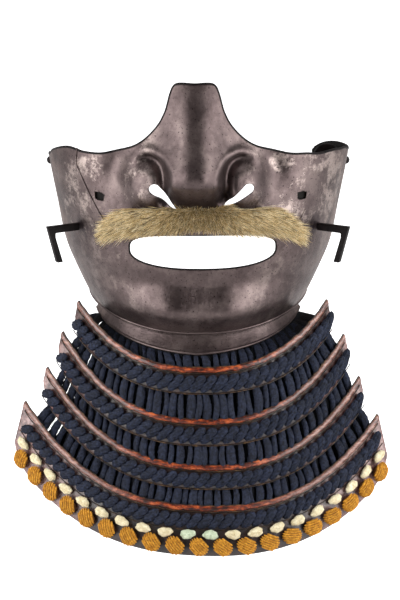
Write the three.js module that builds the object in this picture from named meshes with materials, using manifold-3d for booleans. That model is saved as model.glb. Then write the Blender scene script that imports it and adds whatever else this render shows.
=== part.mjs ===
// Samurai face guard (half mask) with a four-lame throat guard, in millimetres.
// The mask faces -Y, +Z is up and +X is to the right as seen from in front.
// Each form is first laid out about the middle of the neck, with z = 0 at the crease
// under the chin, and the whole is then moved so that the origin is the inside of the
// chin, where the guard sits on its wearer.
import * as THREE from "three";
import { mergeVertices } from "three/addons/utils/BufferGeometryUtils.js";
import Module from "manifold-3d";

const wasm = await Module();
wasm.setup();

// Driving dimensions.
const WALL = 1.6;            // iron shell and lacquered plates
const GAP = 0.35;            // clearance between neighbouring pieces
const CHIN_SEAT = { depth: 72.6, height: 17 };

const SHELL = {
  sideShare: 0.74,           // share of each half of the plan that bends round the front
  halfWidth: [[-2, 54.5], [4, 57.5], [19, 65], [38, 73], [60, 77.5], [90, 83], [145, 90]],
  frontDepth: [[-2, 63], [4, 69.5], [14, 75], [28, 73], [40, 75.5], [62, 75.5], [76, 73],
    [100, 68], [145, 61]],
  rearDepth: [[-2, 1], [12, 8], [40, 17], [90, 30], [145, 30]],
  topEdge: [[0, 138], [8, 138], [10.8, 136.4], [12.6, 132], [15, 123.5], [19.4, 115], [27, 107],
    [37, 101.5], [50, 97.5], [62, 96.5], [71, 97], [80, 92], [84, 85.5]],
  topWidth: 84,              // half width that the top edge's outline is measured across
  bottomRise: 11,
  shift: -1,
  curl: { left: 5, right: 18 },
  rearDrop: { left: 7.5, right: 1.5 },
};

const NOSE = { shift: -1.8, top: 138, tip: 87, base: 74.5, reach: 25 };
const ALA = { offset: 22, height: 90, radius: 11.5 };
const MOUTH = { halfWidth: 39.8, low: 38, middle: 48, high: 57.5, shift: 1.5, squareness: 0.7 };
const NOSTRIL = {
  radius: 2.8,
  tipRadius: 0.6,
  upper: [25.2, 82.8],
  lower: [12.2, 71.5],
  shift: 0.8,
};
const CHEEK_HOLE = { x: 54.5, z: 74, width: 5, height: 4.4, shift: 0.5 };
const MOUSTACHE = {
  reach: [-0.392, 0.405],
  top: [[0, 71], [10, 70.2], [18, 69.2], [26, 69.8], [42, 67], [52, 65], [62, 60]],
  bottom: [[0, 59.5], [20, 59], [36, 56], [46, 51], [54, 48.5], [62, 51]],
  thickness: 9,
  stand: 2,
};

const HOOK = {
  share: 0.48,
  z: 53.5,
  arm: 17.5,
  drop: 18.5,
  lean: 5.5,
  width: 3.8,
  upright: 2.4,              // straight stretch inside the bend, where a cord lies
  thickness: 3,
  forward: 30,
};
const RIVET = { share: 0.75, z: 81, radius: 2.2, height: 1.6 };

const FLANGE = {
  halfWidth: 55.5,
  depth: 63.6,
  flare: 9,
  sideFlare: 2.5,
  drop: 10,
  sideDrop: 5.5,
  sweep: 76,
};

// The four lames, from the top: the arc of each one's top edge, its heights and its small
// tilt and shift to one side.
const LAMES = [
  {
    radius: 77, front: 78, sweep: 60.3, shift: 1.5,
    z: -15.3, rise: 27, roll: -0.3, height: 14, rope: 9.2,
  },
  {
    radius: 91, front: 84, sweep: 56.5, shift: 1.8,
    z: -42.6, rise: 37, roll: 0.8, height: 14, rope: 9.2,
  },
  {
    radius: 107, front: 90, sweep: 52, shift: 1.8,
    z: -66.5, rise: 40.5, roll: 2.7, height: 13, rope: 8,
  },
  {
    radius: 128, front: 97, sweep: 48.2, shift: 0.8,
    z: -87.2, rise: 42.3, roll: 3.8, height: 26.6, rope: 8.2,
  },
];
const LAME = { power: 2.7, flare: 0.2, thickness: 1.6, endCut: 25, cornerLoss: 6 };
const LACING = { thickness: 2.4, tuck: 7, share: 0.94 };
const ROPE = { top: 3.4, thickness: 3, share: 0.955 };
const WHITE_KNOT = { count: 20, width: 8.4, height: 5.2, depth: 3.6, up: 12.1, share: 0.935 };
const GOLD_KNOT = { count: 19, width: 10.4, height: 8.6, depth: 5, up: 5.7, share: 0.92 };

// Materials' plain colours.
const FINISH = {
  iron: { color: 0x4f4343, roughness: 0.45, metalness: 0.9 },
  blackIron: { color: 0x17130f, roughness: 0.5, metalness: 0.6 },
  fur: { color: 0xa08a58, roughness: 0.9, metalness: 0 },
  lacquer: { color: 0x6e3320, roughness: 0.35, metalness: 0 },
  blueLace: { color: 0x232a3c, roughness: 0.9, metalness: 0 },
  creamCord: { color: 0xdccfa8, roughness: 0.85, metalness: 0 },
  goldCord: { color: 0xc8922f, roughness: 0.85, metalness: 0 },
};

// Small helpers.
const radians = (degrees) => degrees * Math.PI / 180;
const mix = (a, b, t) => a + (b - a) * t;
const clamp01 = (t) => Math.min(1, Math.max(0, t));
const bump = (distance) => Math.exp(-distance * distance);

function smooth(low, high, value) {
  const t = clamp01((value - low) / (high - low));
  return t * t * (3 - 2 * t);
}

// A smooth curve through [position, value] pairs, level at each end.
function follow(pairs, position) {
  if (position <= pairs[0][0]) return pairs[0][1];
  const last = pairs.length - 1;
  if (position >= pairs[last][0]) return pairs[last][1];
  const slope = (i) => {
    const a = pairs[Math.max(0, i - 1)];
    const b = pairs[Math.min(last, i + 1)];
    return (b[1] - a[1]) / (b[0] - a[0]);
  };
  const i = pairs.findIndex((pair) => pair[0] > position) - 1;
  const [x0, y0] = pairs[i];
  const [x1, y1] = pairs[i + 1];
  const step = x1 - x0;
  const t = (position - x0) / step;
  const t2 = t * t;
  const t3 = t2 * t;
  return (2 * t3 - 3 * t2 + 1) * y0 + (t3 - 2 * t2 + t) * step * slope(i)
    + (3 * t2 - 2 * t3) * y1 + (t3 - t2) * step * slope(i + 1);
}

// How far the face stands out of the plain plan curve, at x from the middle and height z.
function relief(x, z) {
  const fromNose = x - NOSE.shift;
  const across = Math.abs(fromNose);
  const fall = clamp01((NOSE.top - z) / (NOSE.top - NOSE.tip));
  const under = smooth(NOSE.base - 1, NOSE.tip - 3, z);
  const ridge = (6 + (NOSE.reach - 6) * Math.pow(fall, 1.25)) * under;
  const halfWidth = mix(16, 12.5, fall) + 2 * smooth(120, 100, z);
  const nose = ridge * Math.exp(-Math.pow(across / halfWidth, 3));
  const wingUp = (z - ALA.height) / (ALA.radius * 1.25);
  const wingOut = (across - ALA.offset) / ALA.radius;
  const wing = 11 * Math.exp(-Math.pow(wingUp * wingUp + wingOut * wingOut, 1.6));
  const hollow = -4 * bump((across - 34 - (96 - z) * 0.35) / 7) * bump((z - 90) / 16);
  const cheek = 4 * bump((across - 52) / 17) * bump((z - 88) / 18);
  const lip = 2.5 * bump(x / 38) * bump((z - 64) / 7);
  const chin = 4 * bump((Math.abs(x) - 17) / 15) * bump((z - 14) / 11);
  const philtrum = -1.5 * bump(x / 10) * bump((z - 26) / 7);
  return nose + wing + hollow + cheek + lip + chin + philtrum;
}

// A point of the shell's outer face: share runs from -1, the left rear edge, to 1.
function shellPoint(share, z) {
  const side = Math.sign(share) || 1;
  const along = Math.abs(share);
  const width = follow(SHELL.halfWidth, z);
  const depth = follow(SHELL.frontDepth, z);
  if (along <= SHELL.sideShare) {
    const turn = along / SHELL.sideShare * Math.PI / 2;
    const x = side * width * Math.sin(turn);
    const out = relief(x, z) * Math.sqrt(Math.max(0, Math.cos(turn)));
    return new THREE.Vector3(x + SHELL.shift, -depth * Math.cos(turn) - out, z);
  }
  const back = (along - SHELL.sideShare) / (1 - SHELL.sideShare);
  const curl = (side < 0 ? SHELL.curl.left : SHELL.curl.right) * smooth(20, 90, z);
  const x = side * (width - curl * back * back);
  return new THREE.Vector3(x + SHELL.shift, follow(SHELL.rearDepth, z) * back, z);
}

// Height of the shell's top and bottom edges along its plan.
function shellTop(share) {
  const along = Math.abs(share);
  const x = SHELL.topWidth * Math.sin(Math.min(1, along / SHELL.sideShare) * Math.PI / 2);
  const shifted = Math.abs(x * Math.sign(share) - NOSE.shift * smooth(60, 20, x));
  const back = clamp01((along - SHELL.sideShare) / (1 - SHELL.sideShare));
  const drop = share < 0 ? SHELL.rearDrop.left : SHELL.rearDrop.right;
  return follow(SHELL.topEdge, shifted) - drop * back - 6 * Math.pow(back, 6);
}

function shellBottom(share) {
  return SHELL.bottomRise * smooth(0.05, 1, Math.abs(share));
}

// Draws the steps along the shell closer together towards the nose.
const crowd = (share) => Math.sign(share) * Math.pow(Math.abs(share), 1.3);

function geometryFrom(points, faces) {
  const geometry = new THREE.BufferGeometry();
  const numbers = points.flatMap((point) => point.toArray());
  geometry.setAttribute("position", new THREE.Float32BufferAttribute(numbers, 3));
  geometry.setIndex(faces);
  return geometry;
}

// A closed sheet: outer and inner give a point for each pair of numbers from 0 to 1.
function sheet(outer, inner, columns, rows) {
  const points = [];
  const faces = [];
  const size = (columns + 1) * (rows + 1);
  for (const surface of [outer, inner]) {
    for (let row = 0; row <= rows; row += 1) {
      for (let column = 0; column <= columns; column += 1) {
        points.push(surface(column / columns, row / rows));
      }
    }
  }
  const at = (layer, column, row) => layer * size + row * (columns + 1) + column;
  const quad = (a, b, c, d) => faces.push(a, b, c, a, c, d);
  for (let row = 0; row < rows; row += 1) {
    for (let column = 0; column < columns; column += 1) {
      quad(at(0, column, row), at(0, column + 1, row), at(0, column + 1, row + 1), at(0, column, row + 1));
      quad(at(1, column, row), at(1, column, row + 1), at(1, column + 1, row + 1), at(1, column + 1, row));
    }
  }
  for (let column = 0; column < columns; column += 1) {
    quad(at(1, column, 0), at(1, column + 1, 0), at(0, column + 1, 0), at(0, column, 0));
    quad(at(0, column, rows), at(0, column + 1, rows), at(1, column + 1, rows), at(1, column, rows));
  }
  for (let row = 0; row < rows; row += 1) {
    quad(at(0, 0, row), at(0, 0, row + 1), at(1, 0, row + 1), at(1, 0, row));
    quad(at(1, columns, row), at(1, columns, row + 1), at(0, columns, row + 1), at(0, columns, row));
  }
  return geometryFrom(points, faces);
}

// The same point set back by a distance, square to a surface given by two numbers.
function offsetPoint(surface, u, v, distance) {
  const step = 0.004;
  const alongU = surface(Math.min(1, u + step), v).sub(surface(Math.max(0, u - step), v));
  const alongV = surface(u, Math.min(1, v + step)).sub(surface(u, Math.max(0, v - step)));
  const normal = alongU.cross(alongV).normalize();
  return surface(u, v).addScaledVector(normal, distance);
}

function solidOf(geometry) {
  const plain = geometry.clone();
  plain.deleteAttribute("normal");
  plain.deleteAttribute("uv");
  const merged = mergeVertices(plain, 1e-5);
  return new wasm.Manifold(new wasm.Mesh({
    numProp: 3,
    vertProperties: new Float32Array(merged.attributes.position.array),
    triVerts: new Uint32Array(merged.index.array),
  }));
}

function geometryOf(solid) {
  const mesh = solid.getMesh();
  const geometry = new THREE.BufferGeometry();
  geometry.setAttribute("position", new THREE.Float32BufferAttribute(mesh.vertProperties, 3));
  geometry.setIndex(Array.from(mesh.triVerts));
  return geometry;
}

// A straight cutter: an outline in x and z, run through the front of the shell.
function frontCutter(outline, near, far) {
  const shape = new THREE.Shape(outline);
  const geometry = new THREE.ExtrudeGeometry(shape, { depth: far - near, bevelEnabled: false });
  geometry.rotateX(Math.PI / 2);
  geometry.translate(0, -near, 0);
  return solidOf(geometry);
}

// The mouth: a rounded slot whose corners are squarer than an ellipse's.
function mouthOutline() {
  const outline = [];
  const steps = 28;
  const squared = (value) => Math.sign(value) * Math.pow(Math.abs(value), MOUTH.squareness);
  for (let i = 0; i < steps; i += 1) {
    const turn = i / steps * 2 * Math.PI;
    const up = squared(Math.sin(turn));
    const reach = up < 0 ? MOUTH.middle - MOUTH.low : MOUTH.high - MOUTH.middle;
    outline.push(new THREE.Vector2(
      MOUTH.shift + MOUTH.halfWidth * squared(Math.cos(turn)),
      MOUTH.middle + reach * up,
    ));
  }
  return outline;
}

const pointOnCircle = (centre, radius, turn) => new THREE.Vector2(
  centre.x + radius * Math.cos(turn),
  centre.y + radius * Math.sin(turn),
);

// A nostril: a slot with a round upper end that narrows down towards the nose.
function nostrilOutline(side) {
  const upper = new THREE.Vector2(side * NOSTRIL.upper[0] + NOSTRIL.shift, NOSTRIL.upper[1]);
  const lower = new THREE.Vector2(side * NOSTRIL.lower[0] - NOSTRIL.shift, NOSTRIL.lower[1]);
  const along = lower.clone().sub(upper);
  const angle = Math.atan2(along.y, along.x);
  const outline = [];
  for (let i = 0; i <= 8; i += 1) {
    const turn = angle + Math.PI / 2 + i / 8 * Math.PI;
    outline.push(pointOnCircle(upper, NOSTRIL.radius, turn));
  }
  for (const turn of [angle - Math.PI / 2, angle + Math.PI / 2]) {
    outline.push(pointOnCircle(lower, NOSTRIL.tipRadius, turn));
  }
  return outline;
}

function cheekHoleOutline(side) {
  const x = side * CHEEK_HOLE.x + CHEEK_HOLE.shift;
  const [w, h] = [CHEEK_HOLE.width / 2, CHEEK_HOLE.height / 2];
  return [[-w, -h * 0.7], [-w * 0.4, -h], [w * 0.8, -h], [w, h * 0.6], [w * 0.3, h], [-w, h]]
    .map(([dx, dz]) => new THREE.Vector2(x + dx, CHEEK_HOLE.z + dz));
}

function faceShell() {
  const outer = (u, v) => {
    const share = crowd(mix(-1, 1, u));
    return shellPoint(share, mix(shellBottom(share), shellTop(share), v));
  };
  const inner = (u, v) => offsetPoint(outer, u, v, -WALL);
  let solid = solidOf(sheet(outer, inner, 72, 26));
  const cutters = [frontCutter(mouthOutline(), 40, 110)];
  for (const side of [-1, 1]) {
    cutters.push(frontCutter(nostrilOutline(side), 40, 110));
    cutters.push(frontCutter(cheekHoleOutline(side), 30, 90));
  }
  for (const cutter of cutters) {
    solid = solid.subtract(cutter);
  }
  return geometryOf(solid);
}

// A closed band: section gives its corners, in order, for a share of the way from -1 to 1.
function band(steps, section) {
  const rings = [];
  for (let i = 0; i <= steps; i += 1) {
    rings.push(section(mix(-1, 1, i / steps)));
  }
  const corners = rings[0].length;
  const faces = [];
  for (let i = 0; i < steps; i += 1) {
    for (let k = 0; k < corners; k += 1) {
      const next = (k + 1) % corners;
      const [a, b] = [i * corners + k, i * corners + next];
      const [c, d] = [a + corners, b + corners];
      faces.push(a, d, b, a, c, d);
    }
  }
  const end = steps * corners;
  for (let k = 1; k < corners - 1; k += 1) {
    faces.push(0, k, k + 1);
    faces.push(end, end + k + 1, end + k);
  }
  return geometryFrom(rings.flat(), faces);
}

// The outward direction, level, of a curve round the neck at a turn from straight ahead.
function outwardAt(plan, turn) {
  const angle = radians(turn);
  return new THREE.Vector3(Math.sin(angle) / plan.halfWidth, -Math.cos(angle) / plan.depth, 0).normalize();
}

function around(plan, turn, z) {
  const angle = radians(turn);
  const x = plan.shift + plan.halfWidth * Math.sin(angle);
  return new THREE.Vector3(x, plan.middle - plan.depth * Math.cos(angle), z);
}

const flangePlan = { halfWidth: FLANGE.halfWidth, depth: FLANGE.depth, middle: 0, shift: SHELL.shift };

// A point of the flange at a share of its way round: outward and down from the jaw line,
// each as a share of the flange's own reach and drop there.
function onFlange(share, outward, down, pushed = 0) {
  const side = Math.abs(share);
  const turn = share * FLANGE.sweep;
  const high = shellBottom(Math.abs(turn) / 90 * SHELL.sideShare) - GAP;
  const reach = mix(FLANGE.flare, FLANGE.sideFlare, side);
  const drop = mix(FLANGE.drop, FLANGE.sideDrop, side);
  return around(flangePlan, turn, high - drop * down)
    .addScaledVector(outwardAt(flangePlan, turn), reach * outward + pushed);
}

function neckFlange() {
  return band(36, (share) => [
    onFlange(share, 0, 0, -1.6),
    onFlange(share, 0.35, 0.55, -1.6),
    onFlange(share, 1, 1, -1.4),
    onFlange(share, 1, 0.95, 0.4),
    onFlange(share, 0.35, 0.5),
    onFlange(share, 0, 0),
  ]);
}

function lamePlan(lame) {
  const middle = lame.radius - lame.front;
  return { halfWidth: lame.radius, depth: lame.radius, middle, shift: lame.shift };
}

// A point of a lame's top edge, at a turn from straight ahead.
function lameEdge(lame, turn) {
  const across = Math.sin(radians(turn)) / Math.sin(radians(lame.sweep));
  const rise = lame.rise * Math.pow(Math.abs(across), LAME.power);
  return around(lamePlan(lame), turn, lame.z + rise - lame.roll * across);
}

// The directions along, outward from and down a lame, and its edge, at a share of its way round.
function lameFrame(lame, share, down) {
  const turn = share * (lame.sweep - LAME.endCut * down / lame.radius);
  const along = lameEdge(lame, turn + 0.5).sub(lameEdge(lame, turn - 0.5)).normalize();
  const outward = outwardAt(lamePlan(lame), turn);
  const downward = along.clone().cross(outward).normalize();
  return { edge: lameEdge(lame, turn), along, outward, downward };
}

// A point on a lame: outward from its inner face, and down from its top edge.
function onLame(lame, share, outward, down) {
  const place = lameFrame(lame, share, down);
  return place.edge
    .addScaledVector(place.downward, down)
    .addScaledVector(place.outward, outward + LAME.flare * down);
}

const lameHeight = (lame, share) => lame.height - LAME.cornerLoss * Math.pow(Math.abs(share), 24);

function lamePlate(lame) {
  return band(40, (share) => {
    const height = lameHeight(lame, share);
    return [
      onLame(lame, share, 0, 0),
      onLame(lame, share, 0, height),
      onLame(lame, share, LAME.thickness, height),
      onLame(lame, share, LAME.thickness, 0),
    ];
  });
}

// The rope-like row on the front of a lame.
function crossLacing(lame) {
  const back = LAME.thickness + GAP;
  return band(36, (share) => {
    const at = (outward, down) => onLame(
      lame,
      share * ROPE.share,
      back + outward * ROPE.thickness,
      ROPE.top + lame.rope * down,
    );
    return [at(0, 0), at(0, 1), at(0.8, 0.85), at(1, 0.5), at(0.8, 0.15)];
  });
}

// The free lacing between an upper edge and the inside of the lame below it.
function lacing(upperPoint, lame) {
  return band(36, (whole) => {
    const share = whole * LACING.share;
    return [
      onLame(lame, share, -GAP, 0),
      upperPoint(share, LACING.thickness),
      upperPoint(share, 0),
      onLame(lame, share, -GAP - LACING.thickness, LACING.tuck),
      onLame(lame, share, -GAP, LACING.tuck),
    ];
  });
}

// The upper edge of the lacing, where it hangs from the flange or from the lame above.
function underFlange(share, thickness) {
  const place = onFlange(share, 1, 1, 0.4 + GAP * 1.5);
  return place.setZ(place.z - LACING.thickness + thickness);
}

const underLame = (lame) => (share, outward) =>
  onLame(lame, share, outward - 0.5, lameHeight(lame, share) + GAP);

// Shares that space a number of knots evenly along a lame, at a distance down from its edge.
function evenShares(lame, count, reach, down) {
  const steps = 400;
  const shares = [-reach];
  const lengths = [0];
  for (let i = 1; i <= steps; i += 1) {
    shares.push(mix(-reach, reach, i / steps));
    const here = onLame(lame, shares[i], 0, down);
    lengths.push(lengths[i - 1] + here.distanceTo(onLame(lame, shares[i - 1], 0, down)));
  }
  return Array.from({ length: count }, (_, k) => {
    const wanted = lengths[steps] * k / (count - 1);
    return shares[lengths.findIndex((length) => length >= wanted - 1e-9)];
  });
}

// A row of knots on the lowest lame, each a low rounded pad.
function addKnots(name, knot, finish) {
  const lame = LAMES[LAMES.length - 1];
  const down = lame.height - knot.up;
  const out = LAME.thickness + GAP + knot.depth / 2;
  evenShares(lame, knot.count, knot.share, down).forEach((share, i) => {
    const geometry = new THREE.SphereGeometry(0.5, 8, 6);
    geometry.scale(knot.width, knot.depth, knot.height);
    const piece = addPiece(`${name}_${String(i + 1).padStart(2, "0")}`, geometry, finish);
    const { along, outward, downward } = lameFrame(lame, share, down);
    const turned = new THREE.Matrix4().makeBasis(along, outward.negate(), downward.negate());
    piece.position.copy(onLame(lame, share, out, down));
    piece.quaternion.setFromRotationMatrix(turned);
  });
}

// The moustache follows the face, is thickest along its middle and rounds off at each end.
function moustache() {
  const face = (u, v) => {
    const share = mix(MOUSTACHE.reach[0], MOUSTACHE.reach[1], u);
    const x = Math.abs(shellPoint(share, MOUTH.high).x);
    const end = Math.pow(Math.sin(Math.PI * mix(0.015, 0.985, u)), 0.35);
    const top = follow(MOUSTACHE.top, x);
    const bottom = follow(MOUSTACHE.bottom, x);
    return shellPoint(share, (top + bottom) / 2 + (v - 0.5) * (top - bottom) * end);
  };
  const inner = (u, v) => offsetPoint(face, u, v, MOUSTACHE.stand);
  const outer = (u, v) => {
    const end = Math.pow(Math.sin(Math.PI * mix(0.03, 0.97, u)), 0.5);
    const crown = Math.pow(Math.sin(Math.PI * mix(0.05, 0.95, v)), 0.6);
    return inner(u, v).add(new THREE.Vector3(0, -MOUSTACHE.thickness * end * crown, 0));
  };
  return sheet(outer, inner, 34, 8);
}

// A flat bar bent to an L: the arm stands out of the cheek and the tail hangs from it.
function hook() {
  const half = HOOK.width / 2;
  const inside = HOOK.arm - HOOK.width * 1.1;
  const outline = [
    [0, half],
    [HOOK.arm, half],
    [HOOK.arm - HOOK.lean, -HOOK.drop],
    [HOOK.arm - HOOK.lean - HOOK.width * 0.8, -HOOK.drop],
    [inside, -half - HOOK.upright],
    [inside, -half],
    [0, -half],
  ].map(([out, up]) => new THREE.Vector2(out, up));
  const geometry = new THREE.ExtrudeGeometry(new THREE.Shape(outline), {
    depth: HOOK.thickness,
    bevelEnabled: false,
  });
  geometry.translate(0, 0, -HOOK.thickness / 2);
  geometry.rotateX(Math.PI / 2);
  return geometry;
}

function addHook(name, side) {
  const piece = addPiece(name, hook(), "blackIron");
  const root = shellPoint(side * HOOK.share, HOOK.z);
  const heading = side < 0 ? 180 + HOOK.forward : -HOOK.forward;
  const out = new THREE.Vector3(Math.cos(radians(heading)), Math.sin(radians(heading)), 0);
  piece.position.copy(root.addScaledVector(out, GAP + 1));
  piece.rotation.z = radians(heading);
}

// A low round rivet head on the outside of the shell.
function addRivet(name, side) {
  const profile = [new THREE.Vector2(0, 0)];
  for (let i = 0; i <= 3; i += 1) {
    const rise = i / 3 * Math.PI / 2;
    profile.push(new THREE.Vector2(RIVET.radius * Math.cos(rise), RIVET.height * Math.sin(rise)));
  }
  const piece = addPiece(name, new THREE.LatheGeometry(profile, 12), "blackIron");
  const surface = (u, v) => shellPoint(mix(-1, 1, u), RIVET.z + v - 0.5);
  const u = (side * RIVET.share + 1) / 2;
  const seat = offsetPoint(surface, u, 0.5, GAP);
  const normal = seat.clone().sub(surface(u, 0.5)).normalize();
  piece.position.copy(seat);
  piece.quaternion.setFromUnitVectors(new THREE.Vector3(0, 1, 0), normal);
}

const assembly = new THREE.Group();
assembly.position.set(0, CHIN_SEAT.depth, -CHIN_SEAT.height);

function addPiece(name, geometry, finish) {
  geometry.computeVertexNormals();
  const mesh = new THREE.Mesh(geometry, new THREE.MeshStandardMaterial(FINISH[finish]));
  mesh.name = name;
  assembly.add(mesh);
  return mesh;
}

addPiece("face_shell", faceShell(), "iron");
addPiece("neck_flange", neckFlange(), "iron");
addPiece("moustache", moustache(), "fur");
addHook("hook_left", -1);
addHook("hook_right", 1);
addRivet("rivet_left", -1);
addRivet("rivet_right", 1);
LAMES.forEach((lame, i) => {
  const above = i === 0 ? underFlange : underLame(LAMES[i - 1]);
  addPiece(`lame_${i + 1}`, lamePlate(lame), "lacquer");
  addPiece(`lacing_${i + 1}`, lacing(above, lame), "blueLace");
  addPiece(`cross_lacing_${i + 1}`, crossLacing(lame), "blueLace");
});
addKnots("white_knot", WHITE_KNOT, "creamCord");
addKnots("gold_knot", GOLD_KNOT, "goldCord");

export default assembly;
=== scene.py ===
"""A samurai face guard: an iron half mask with a fur moustache, cheek hooks and a laced throat guard.

Forms are laid out in millimetres about the middle of the neck, with z = 0 at the crease under the
chin. The mask faces -Y and +X is to the right as seen from in front. place() moves them into the
part's own frame, in metres, whose origin is the inside of the chin.
"""

import math

import bpy
import numpy as np
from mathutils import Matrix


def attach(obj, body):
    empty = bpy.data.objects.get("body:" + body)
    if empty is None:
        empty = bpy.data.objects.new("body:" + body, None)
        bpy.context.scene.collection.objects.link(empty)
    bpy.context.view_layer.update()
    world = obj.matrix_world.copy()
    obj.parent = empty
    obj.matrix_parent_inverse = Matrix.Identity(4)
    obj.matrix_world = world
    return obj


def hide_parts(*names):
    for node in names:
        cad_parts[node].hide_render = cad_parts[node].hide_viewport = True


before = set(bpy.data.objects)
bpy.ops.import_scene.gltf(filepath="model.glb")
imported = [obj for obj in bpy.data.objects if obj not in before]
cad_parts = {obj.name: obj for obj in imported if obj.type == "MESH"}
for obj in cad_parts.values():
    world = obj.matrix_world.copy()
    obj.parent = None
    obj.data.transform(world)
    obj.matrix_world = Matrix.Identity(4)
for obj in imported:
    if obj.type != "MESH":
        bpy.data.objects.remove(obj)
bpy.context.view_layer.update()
rng = np.random.default_rng(7)

# Driving dimensions, in millimetres.
CHIN_SEAT = (0, 72.6, -17)
GAP = 0.35

SIDE_SHARE = 0.74
SHELL_SHIFT = -1
HALF_WIDTH = [(-2, 54.5), (4, 57.5), (19, 65), (38, 73), (60, 77.5), (90, 83), (145, 90)]
FRONT_DEPTH = [(-2, 63), (4, 69.5), (14, 75), (28, 73), (40, 75.5), (62, 75.5), (76, 73), (100, 68),
               (145, 61)]
REAR_DEPTH = [(-2, 1), (12, 8), (40, 17), (90, 30), (145, 30)]
TOP_EDGE = [(0, 138), (8, 138), (10.8, 136.4), (12.6, 132), (15, 123.5), (19.4, 115), (27, 107), (37, 101.5),
            (50, 97.5), (62, 96.5), (71, 97), (80, 92), (84, 85.5)]
TOP_WIDTH = 84
BOTTOM_RISE = 11
CURL_LEFT, CURL_RIGHT = 5, 18
DROP_LEFT, DROP_RIGHT = 7.5, 1.5
IRON = 1.15
LINING = 0.4

NOSE_SHIFT, NOSE_TOP, NOSE_TIP, NOSE_BASE, NOSE_REACH = -1.8, 138, 87, 74.5, 25
WING_ARCH = [(12.2, 77), (12.3, 86), (13, 93), (16.4, 99), (24.6, 102), (32.6, 97.8), (38.5, 87)]
WING_GROOVE = [(16.2, 77), (16.4, 86), (17.2, 91.5), (19.8, 95.6), (25, 97.4), (30.4, 94), (34, 87)]
CHEEK_VALLEY = [(34, 104), (39.5, 98.5), (43, 91), (45, 83), (47, 74)]

SIDE_SEAM = [(-66.3, 98), (-66.8, 90), (-64.5, 84), (-57, 69.5), (-49.5, 58)]
SIDE_SEAM_RIGHT = [(53, 59), (57, 66)]

MOUTH = dict(half_width=39.8, low=38, middle=48, high=57.5, shift=1.5, squareness=0.7)
NOSTRIL = dict(radius=2.8, tip=0.6, upper=(25.2, 82.8), lower=(12.2, 71.5), shift=0.8)
CHEEK_HOLE = dict(x=54.5, z=74, width=5, height=4.4, shift=0.5)

FLANGE = dict(half_width=55.5, depth=63.6, flare=9, side_flare=2.5, drop=10, side_drop=5.5, sweep=76)

LAMES = [
    dict(radius=77, front=78, sweep=60.3, z=-15.3, rise=27, height=14, rope=9.2, roll=-0.3, shift=1.5),
    dict(radius=91, front=84, sweep=56.5, z=-42.6, rise=37, height=14, rope=9.2, roll=0.8, shift=1.8),
    dict(radius=107, front=90, sweep=52, z=-66.5, rise=40.5, height=13, rope=8, roll=2.7, shift=1.8),
    dict(radius=128, front=97, sweep=48.2, z=-87.2, rise=42.3, height=26.6, rope=8.2, roll=3.8, shift=0.8),
]
LAME_POWER, LAME_FLARE, LAME_THICK, END_CUT, CORNER_LOSS = 2.7, 0.2, 1.6, 25, 6
LACE_THICK, LACE_TUCK, LACE_SHARE = 2.4, 7, 0.94
LACE_STEPS = (16, 8)
ROPE_TOP, ROPE_THICK, ROPE_SHARE, ROPE_PITCH = 3.4, 3, 0.955, 5.7
WHITE_KNOT = dict(count=20, width=8.4, height=5.4, depth=3.6, up=12.1, share=0.935)
GOLD_KNOT = dict(count=19, width=11.2, height=10.2, depth=5, up=5.7, share=0.92)

MOUSTACHE_REACH = (-0.392, 0.405)
MOUSTACHE_TOP = [(0, 74.5), (10, 73.5), (18, 72), (26, 73.5), (34, 71.5), (44, 62), (52, 57), (62, 50)]
MOUSTACHE_BOTTOM = [(0, 62.5), (20, 62), (36, 58.5), (46, 53.5), (54, 50), (62, 49)]
MOUSTACHE_STAND = 2
HAIR_RADIUS = 0.11

SEEN_WHITE = 1.1

HOOK = dict(share=0.48, z=53.5, arm=17.5, drop=18.5, lean=5.5, width=3.8, upright=2.4, thick=3, forward=30)
LOBE = dict(x=70.2, y=10, z=81.4, half_width=7.6, half_height=7.0)
RIGHT_CORNER = dict(rise=3.0, span=(77, 84))
RIGHT_DIP = dict(depth=2.6, x=69, width=7)
RIVET = dict(share=0.75, z=81, radius=2.2, height=1.6)


# Numbers.
def smooth(low, high, value):
    """0 below low, 1 above high, and an easy change between."""
    t = np.clip((value - low) / (high - low), 0, 1)
    return t * t * (3 - 2 * t)


def bump(distance):
    return np.exp(-distance * distance)


def mix(a, b, t):
    return a + (b - a) * t


def follow(pairs, position):
    """A smooth curve through (position, value) pairs, level beyond each end."""
    xs, ys = np.array(pairs, float).T
    slopes = np.empty_like(ys)
    slopes[1:-1] = (ys[2:] - ys[:-2]) / (xs[2:] - xs[:-2])
    slopes[0] = (ys[1] - ys[0]) / (xs[1] - xs[0])
    slopes[-1] = (ys[-1] - ys[-2]) / (xs[-1] - xs[-2])
    position = np.clip(position, xs[0], xs[-1])
    i = np.clip(np.searchsorted(xs, position, side="right") - 1, 0, len(xs) - 2)
    step = xs[i + 1] - xs[i]
    t = (position - xs[i]) / step
    start = (2 * t ** 3 - 3 * t ** 2 + 1) * ys[i] + (t ** 3 - 2 * t ** 2 + t) * step * slopes[i]
    return start + (3 * t ** 2 - 2 * t ** 3) * ys[i + 1] + (t ** 3 - t ** 2) * step * slopes[i + 1]


def unit(vectors):
    return vectors / np.linalg.norm(vectors, axis=-1, keepdims=True)


def curve_through(points, count):
    """count points along a smooth curve through the given ones."""
    points = np.array(points, float)
    steps = np.linspace(0, len(points) - 1, count)
    columns = [follow(list(enumerate(column)), steps) for column in points.T]
    return np.stack(columns, axis=-1)


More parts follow.
